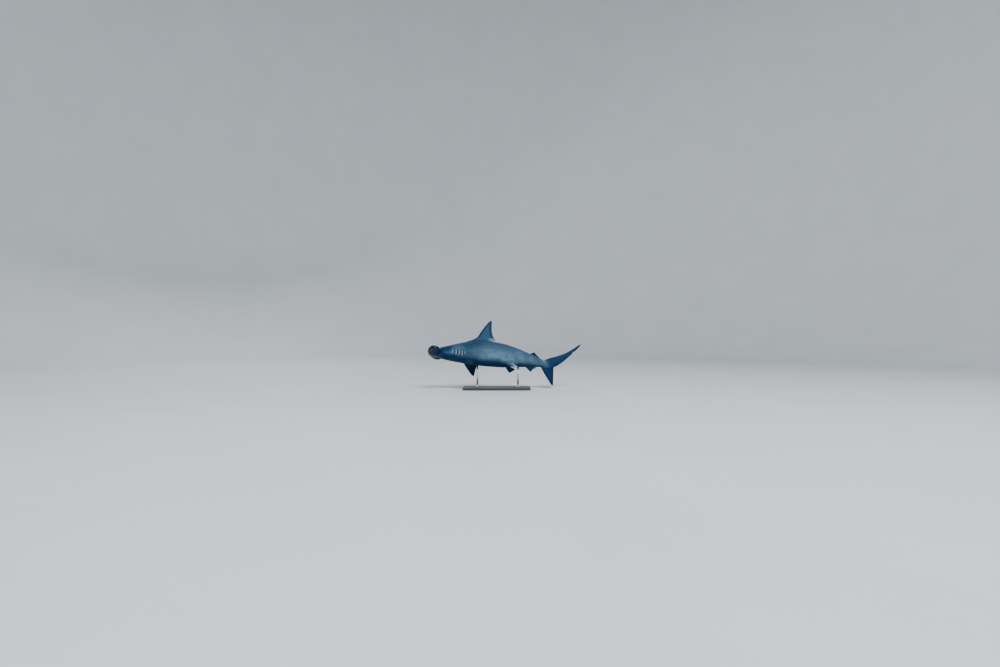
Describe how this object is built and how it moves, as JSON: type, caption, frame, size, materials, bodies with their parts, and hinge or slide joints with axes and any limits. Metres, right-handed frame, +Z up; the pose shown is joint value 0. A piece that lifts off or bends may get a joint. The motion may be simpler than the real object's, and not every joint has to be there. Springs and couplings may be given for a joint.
{
  "type": "hammerhead shark",
  "caption": "Still, life-size scalloped hammerhead shark, banked with its tail swung aside, held by a flat display base and short rods.",
  "frame": {"origin": "centre of the underside of the stand's base, on the floor", "axes": "-X the way the head points, -Y the side of the shark's left flank, +Z up"},
  "size_m": [2.3532, 0.9044, 1.0159],
  "materials": {
    "skin": "satin",
    "fin": "satin",
    "eye": "gloss",
    "plinth": "satin",
    "rod": "satin"
  },
  "bodies": {
    "root": {"head": "skin", "gills_and_shoulder": "skin", "torso": "skin", "hind_torso": "skin", "tail_stalk": "skin", "tail_fin_upper_lobe": "fin", "tail_fin_lower_lobe": "fin", "dorsal_fin_first": "fin", "dorsal_fin_second": "fin", "anal_fin": "fin", "pectoral_fin_left": "fin", "pectoral_fin_right": "fin", "pelvic_fin_left": "fin", "pelvic_fin_right": "fin", "eye_left": "eye", "eye_right": "eye", "stand_base": "plinth", "stand_rod_front": "rod", "stand_rod_rear": "rod"}
  },
  "joints": []
}
